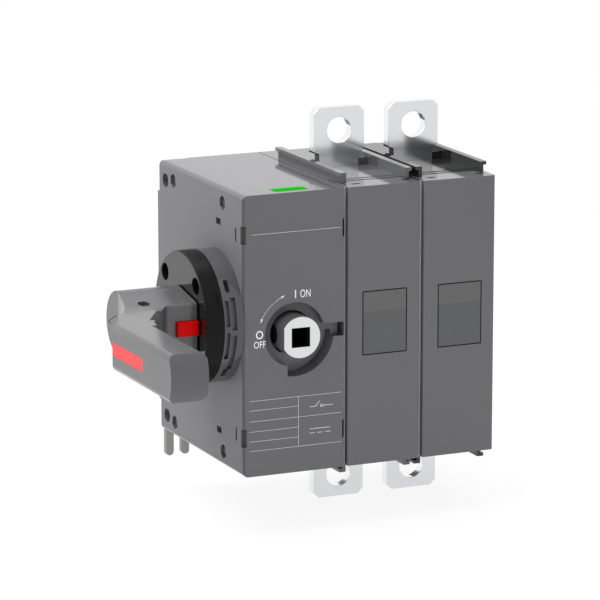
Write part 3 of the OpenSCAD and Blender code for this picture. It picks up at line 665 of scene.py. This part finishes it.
PLATE_R, AXIS_Y, AXIS_Z = 35.5, -82.5, 6.0
MARK_X, MARK_WIDTH, MARK_FROM, MARK_TO, MARK_POINTS = -86.6, 1.9, 22.5, 32.0, 7


def plate_rim(middles, normals):
    """The plate's rim, bores and screw holes."""
    return np.abs(normals[0]) < ASIDE


def on_rim(points):
    """Wraps (along the axis, round the rim, rise) on to the plate's rim; zero is its front.

    The way round over the radius is the angle, and the rise adds to the radius.
    """
    turn, reach = points[1] / PLATE_R, PLATE_R + points[2]
    return np.stack([points[0], AXIS_Y - reach * np.cos(turn), AXIS_Z + reach * np.sin(turn)])


adapter_plastic = moulded("adapter_plastic", linear(68, 68, 70), 0.16, shine=0.4)
plate_plastic = moulded("plate_plastic", linear(16, 16, 16), 0.06)
rim_plastic = moulded("plate_rim", linear(16, 16, 16), 0.3, shine=0.1)
dress("side_adapter", "adapter_ring", adapter_plastic)
handle_disc = dress("handle_plate", "handle_disc", plate_plastic, 0.5)
paint(handle_disc, rim_plastic, plate_rim)
round_rim = np.radians(np.linspace(MARK_FROM, MARK_TO, MARK_POINTS)) * PLATE_R
mark = band(np.stack([np.full(MARK_POINTS, MARK_X), round_rim], 1), MARK_WIDTH)
joined("plate_rim_mark", [mark], on_rim, dark_marks_and_shade, "switch")

# ---------------------------------------------------------------- turning handle
# The lever is one hollow grey moulding: a round hub, a leaning arm and a straight grip, with a red
# insert in the grip. Its two long outer edges are rounded, and it turns the drive through a square
# zinc-plated spindle.

# The outer edge from the hub to the grip's front: its x and y, its upper side's z, and its radius.
# The cutter has ARC_POINTS on its quarter round and reaches CUT_OUT radii past the edge.
LEVER_EDGE = ((-128.9, -82.5, 23.5, 0.3), (-133.4, -102.0, 20.0, 2.0), (-139.3, -111.6, 18.3, 2.8),
              (-151.7, -131.9, 18.3, 3.2), (-151.7, -214.0, 18.3, 3.2))
ARC_POINTS, CUT_OUT = 9, 0.4
HUB_END, SCRIBE_CORNER, SCRIBE_WIDTH = -128.9, (47.8, 79.7), 0.3


def edge_cutter(side):
    """What lies outside a quarter round along the arm's and grip's outer edge; side -1 is the lower.

    A profile goes round the outside of a corner and back along a quarter circle. At each corner of
    the edge it is scaled to the radius there and moved in along the mitre of the two straights.
    """
    route = np.array(LEVER_EDGE)
    run = np.diff(route[:, :2], axis=0)
    run /= np.linalg.norm(run, axis=1)[:, None]
    inward = np.stack([-run[:, 1], run[:, 0]], 1)
    first, last = np.vstack([inward[:1], inward]), np.vstack([inward, inward[-1:]])
    mitre = (first + last) / (1 + (first * last).sum(1))[:, None]
    turn = np.radians(np.linspace(0, 90, ARC_POINTS))
    arc = np.stack([1 - np.sin(turn), 1 - np.cos(turn)], 1)
    profile = np.vstack([[[-CUT_OUT, 1.0], [-CUT_OUT, -CUT_OUT], [1.0, -CUT_OUT]], arc])
    shift = profile[None] * route[:, None, 3:]
    flat = route[:, None, :2] + shift[..., :1] * mitre[:, None]
    height = AXIS_Z + side * (route[:, None, 2] - AXIS_Z - shift[..., 1])
    verts = np.concatenate([flat, height[..., None]], 2).reshape(-1, 3)
    rows, around = len(route), len(profile)
    step, corner = np.arange(rows - 1)[:, None] * around, np.arange(around)
    after = (corner + 1) % around
    faces = np.stack([step + corner, step + after, step + around + after, step + around + corner], 2)
    faces = faces.reshape(-1, 4).tolist()
    faces += [list(range(around)), list(range(rows * around - 1, rows * around - around - 1, -1))]
    return verts, faces


def round_grip(work):
    """Cuts the arm's and grip's two long outer edges to their quarter rounds."""
    blank = sheet_object("lever_blank", [], [])
    work.to_mesh(blank.data)
    cutters = []
    for side in (-1, 1):
        verts, faces = edge_cutter(side)
        cutter = sheet_object("edge_cutter", verts * MM, faces)
        face_out(cutter.data)
        cut = blank.modifiers.new("cut", "BOOLEAN")
        cut.operation, cut.object, cut.solver = "DIFFERENCE", cutter, "EXACT"
        cutters.append(cutter)
    finished = bpy.data.meshes.new_from_object(blank.evaluated_get(bpy.context.evaluated_depsgraph_get()))
    work.clear()
    work.from_mesh(finished)
    bmesh.ops.remove_doubles(work, verts=work.verts, dist=MERGE)
    bpy.data.meshes.remove(finished)
    for piece in (blank, *cutters):
        bpy.data.objects.remove(piece)


def on_hub_end(points):
    """Places (back, up, rise) from the front's lower edge on the hub's round end."""
    return np.stack([HUB_END - points[2], points[0] + FRONT, points[1] - TOP])


lever_plastic = moulded("lever_plastic", linear(71, 71, 73), 0.16, shine=0.62)
red_plastic = moulded("strip_red", linear(207, 30, 30), 0.3, shine=0.3)
moulding = dress("handle_lever", "handle_moulding", lever_plastic, 0, body="handle",
                 trim=round_grip)
blend = moulding.modifiers.new("blended_rounds", "WEIGHTED_NORMAL")
blend.mode, blend.weight, blend.keep_sharp = "FACE_AREA", 50, True
scribed = [band([SCRIBE_CORNER, end], SCRIBE_WIDTH) for end in ((36.8, 84.8), (44.0, 78.8))]
joined("hub_end_mark", scribed, on_hub_end, dark_marks_and_shade, "handle")
dress("handle_strip", "grip_insert", red_plastic, 0.15, body="handle")
dress("handle_spindle", "spindle_bar", zinc, 0.3, body="handle")

# ---------------------------------------------------------------- locking slide
# A tongue of matt red plastic that slides out of the handle's lock block. Drawn out, it shows the
# cross hole that takes a padlock's shackle.

tongue_plastic = moulded("tongue_red", linear(184, 0, 0), 0.35, shine=0.05)
dress("lock_tongue", "lock_slide", tongue_plastic, 0.3, body="tongue")

# ---------------------------------------------------------------- printed marking
# The drive front carries its switch positions, a turning arrow and an empty rating table with the
# switch and direct-current symbols, all printed in white ink that stands a little proud of the skin.

I_STROKE, O_STROKE, ARROW_STROKE, ARROW_HEAD = 0.62, 0.68, 0.15, (1.2, 0.05)
RULE, SWITCH_STROKE, CURRENT_STROKE, DASH = 0.13, 0.24, 0.22, 3.1
TABLE_LEFT, TABLE_MIDDLE, TABLE_RIGHT = 3.7, 31.6, 56.2
INK_RISE, INK_SUNK = 0.05, 0.02


def ink_word(word, left, low, width, height):
    """A word's outlines as an ink slab: each point's share of the word's box, times the slab's size."""
    text = bpy.data.curves.new(word, "FONT")
    text.body, text.extrude = word, 0.5
    holder = bpy.data.objects.new(word, text)
    bpy.context.scene.collection.objects.link(holder)
    bpy.context.view_layer.update()
    flat = bpy.data.meshes.new_from_object(holder)
    verts = np.empty(len(flat.vertices) * 3)
    flat.vertices.foreach_get("co", verts)
    verts = verts.reshape(-1, 3)
    faces = [list(face.vertices) for face in flat.polygons]
    bpy.data.objects.remove(holder)
    bpy.data.curves.remove(text)
    bpy.data.meshes.remove(flat)
    low_corner, high_corner = verts.min(0), verts.max(0)
    share = (verts - low_corner) / (high_corner - low_corner)
    rise = share[:, 2] * (INK_RISE + INK_SUNK) - INK_SUNK
    return np.stack([left + share[:, 0] * width, low + share[:, 1] * height, rise], 1), faces


def circle_through(start, middle, end, count):
    """Points along the circular arc from start through middle to end.

    Its centre is as far from each of the three: twice the centre times the step from start to
    another of them is the difference of their squared distances from zero.
    """
    rows = 2 * (np.array([middle, end]) - start)
    square = (np.array([middle, end]) ** 2).sum(1) - (np.array(start) ** 2).sum()
    centre = np.linalg.solve(rows, square)
    radius = math.dist(start, centre)
    first, last = (math.atan2(p[1] - centre[1], p[0] - centre[0]) for p in (start, end))
    turn = np.linspace(first, last, count)
    return np.stack([centre[0] + radius * np.cos(turn), centre[1] + radius * np.sin(turn)], 1)


ink, surface, start = new_material("white_ink")
place = start.node("ShaderNodeTexCoord", output="Object")
wear = start.node("ShaderNodeTexNoise", values={"Vector": place, "Scale": 900.0, "Detail": 3.0})
tone = start.node("ShaderNodeMix", {"data_type": "RGBA"}, {
    "Factor": wear, 6: linear(214, 214, 216), 7: linear(232, 232, 234)}, output=2)
start.node("ShaderNodeBsdfPrincipled", values={
    "Base Color": tone, "Roughness": wear * 0.2 + 0.4, "Specular IOR Level": 0.3}).feed(surface)

# The two switch positions, each a sign and a word.
positions = [
    band([(29.95, 93.8), (29.95, 98.1)], I_STROKE),
    ink_word("ON", 32.7, 93.8, 5.8, 4.1),
    band(ring_points((9.5, 75.9), 1.72, 1.88, 32), O_STROKE, ring=True),
    ink_word("OFF", 6.3, 68.9, 6.7, 3.6),
]
# The turning arrow, with a head at either end.
arc = circle_through((22.6, 95.0), (16.4, 91.1), (10.6, 83.6), 25)
arrow = [band(arc, ARROW_STROKE), band([arc[1], (23.9, 95.7)], ARROW_HEAD),
         band([arc[-2], (10.1, 82.0)], ARROW_HEAD)]
# The rules: one below the top edge, then the rating table's wide ones, its upright and its short ones.
rules = [band([(5.2, 129.2), (55.6, 129.2)], RULE)]
rules += [band([(TABLE_LEFT, row), (TABLE_RIGHT, row)], RULE) for row in (40.8, 29.8, 13.9)]
rules += [band([(TABLE_MIDDLE, 40.6), (TABLE_MIDDLE, 14.1)], RULE)]
short_rules = [band([(TABLE_LEFT, row), (TABLE_MIDDLE, row)], RULE) for row in (35.7, 24.3, 19.0)]
# The symbols of a switch and of direct current: a line over three dashes.
switch_symbol = [
    band([(38.2, 34.6), (41.6, 34.6)], SWITCH_STROKE),
    band([(41.5, 34.6), (43.9, 37.4)], SWITCH_STROKE),
    band(ring_points((44.9, 34.7), 0.7, 0.7, 20), CURRENT_STROKE, ring=True),
    band([(45.7, 34.7), (51.3, 34.7)], SWITCH_STROKE),
]
current_line = band([(38.1, 22.6), (50.0, 22.6)], CURRENT_STROKE)
dashes = [band([(left, 20.3), (left + DASH, 20.3)], CURRENT_STROKE) for left in (37.8, 42.3, 46.9)]
marks = [*positions, *arrow, *rules, *switch_symbol, current_line, *short_rules, *dashes]
joined("drive_marking", marks, on_front, ink, "switch")

low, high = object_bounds()
